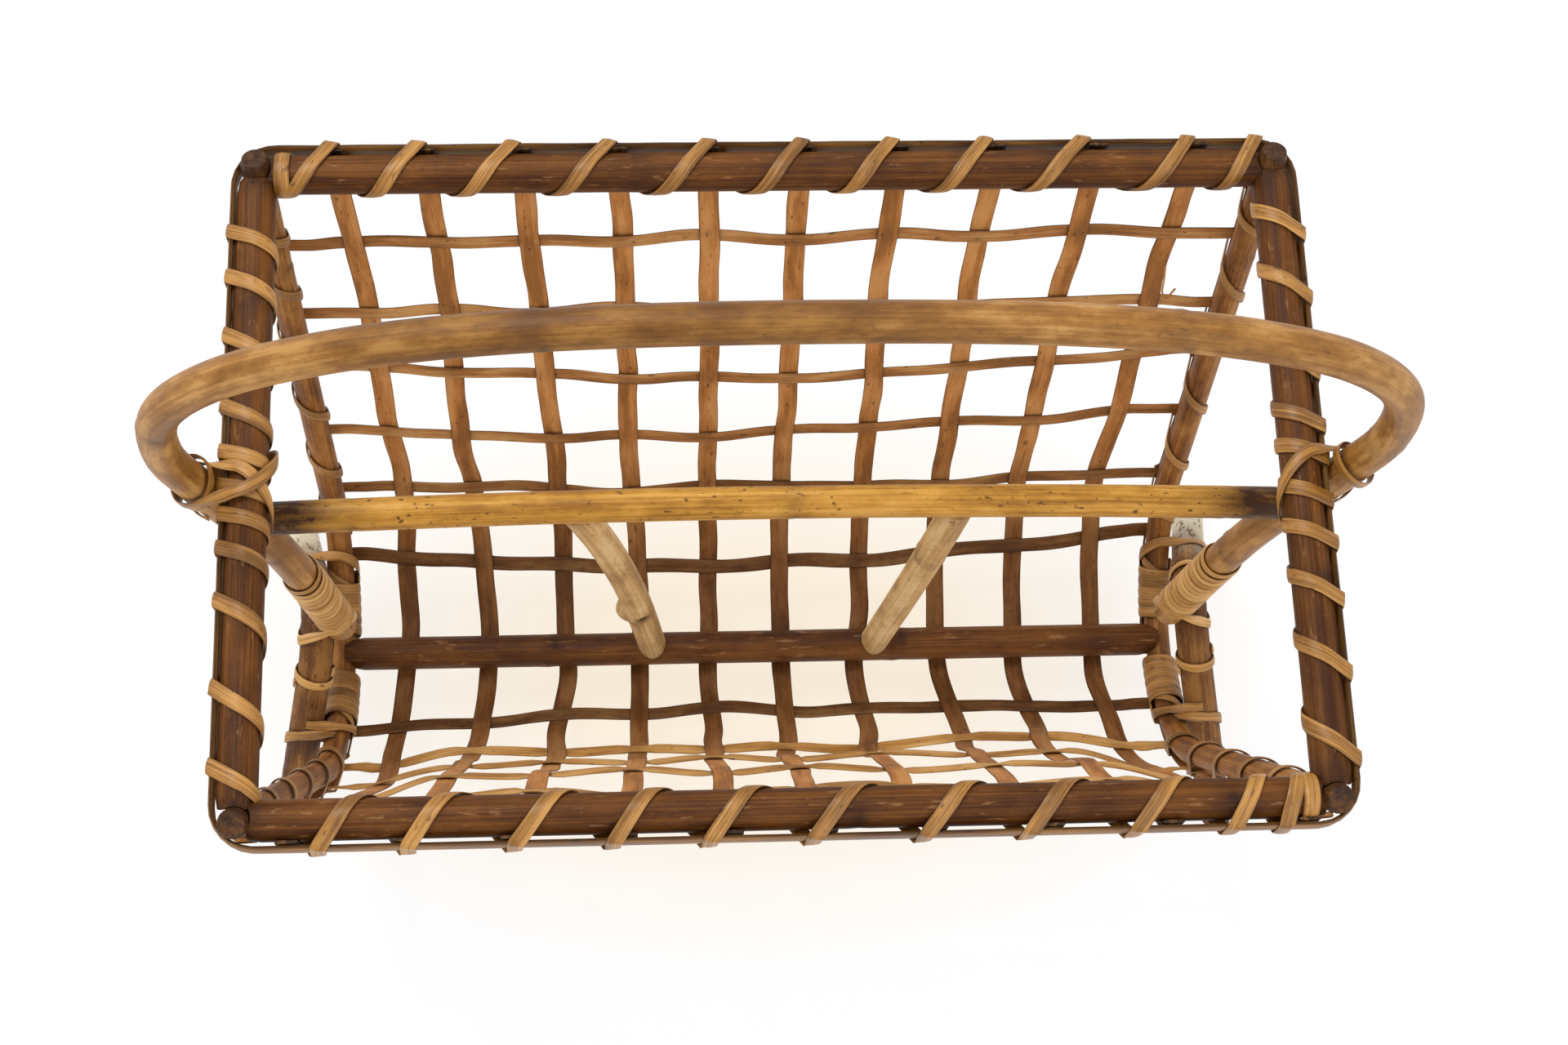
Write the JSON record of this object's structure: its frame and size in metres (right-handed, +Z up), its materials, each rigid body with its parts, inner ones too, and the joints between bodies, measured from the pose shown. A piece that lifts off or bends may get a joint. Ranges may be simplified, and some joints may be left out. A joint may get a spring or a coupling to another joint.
{
  "type": "magazine basket",
  "caption": "Open-ended magazine basket woven of split cane between U-shaped rattan end frames, with a hoop handle, a divider bar and splayed leg hoops.",
  "frame": {"origin": "on the floor under the middle of the basket", "axes": "+X runs along the basket, from its left end to its right end, +Y from the front to the back, +Z up"},
  "size_m": [0.4588, 0.2778, 0.4307],
  "materials": {
    "dark_rattan": "dark stained and varnished rattan pole",
    "frame_pole": "brown varnished rattan pole",
    "honey_rattan": "honey coloured varnished rattan pole",
    "leg_rattan": "worn tan rattan pole",
    "grey_rattan": "bare greyish rattan pole",
    "warp_cane": "aged brown split cane",
    "weft_cane": "aged dark split cane",
    "golden_cane": "golden varnished flat cane",
    "frame_cane": "brown varnished flat cane",
    "pale_cane": "pale narrow flat cane"
  },
  "bodies": {
    "root": {"warp_1": "warp_cane", "warp_2": "warp_cane", "warp_3": "warp_cane", "warp_4": "warp_cane", "warp_5": "warp_cane", "warp_6": "warp_cane", "warp_7": "warp_cane", "warp_8": "warp_cane", "warp_9": "warp_cane", "warp_10": "warp_cane", "weft_1": "weft_cane", "weft_2": "weft_cane", "weft_3": "weft_cane", "weft_4": "weft_cane", "weft_5": "weft_cane", "weft_6": "weft_cane", "weft_7": "weft_cane", "weft_8": "weft_cane", "weft_9": "weft_cane", "weft_10": "weft_cane", "weft_11": "weft_cane", "weft_12": "weft_cane", "weft_13": "weft_cane", "end_frame_left": "frame_pole", "end_strip_left": "warp_cane", "end_frame_right": "frame_pole", "end_strip_right": "warp_cane", "rail_front": "dark_rattan", "rail_back": "dark_rattan", "rail_left": "dark_rattan", "rail_right": "dark_rattan", "bottom_bar": "dark_rattan", "rim_strip": "golden_cane", "leg_hoop_left": "leg_rattan", "leg_hoop_right": "leg_rattan", "handle": "honey_rattan", "divider_bar": "honey_rattan", "divider_strut_left": "grey_rattan", "divider_strut_right": "grey_rattan", "rail_binding_front": "golden_cane", "rail_binding_back": "golden_cane", "rail_binding_left": "golden_cane", "rail_binding_right": "golden_cane", "frame_binding_front_left": "frame_cane", "frame_binding_back_left": "frame_cane", "frame_binding_front_right": "frame_cane", "frame_binding_back_right": "frame_cane", "handle_binding_left": "pale_cane", "handle_binding_right": "pale_cane", "handle_lashing_left": "golden_cane", "crown_lashing_left": "golden_cane", "leg_lashing_front_left": "golden_cane", "leg_lashing_back_left": "golden_cane", "handle_lashing_right": "golden_cane", "crown_lashing_right": "golden_cane", "leg_lashing_front_right": "golden_cane", "leg_lashing_back_right": "golden_cane"}
  },
  "joints": []
}
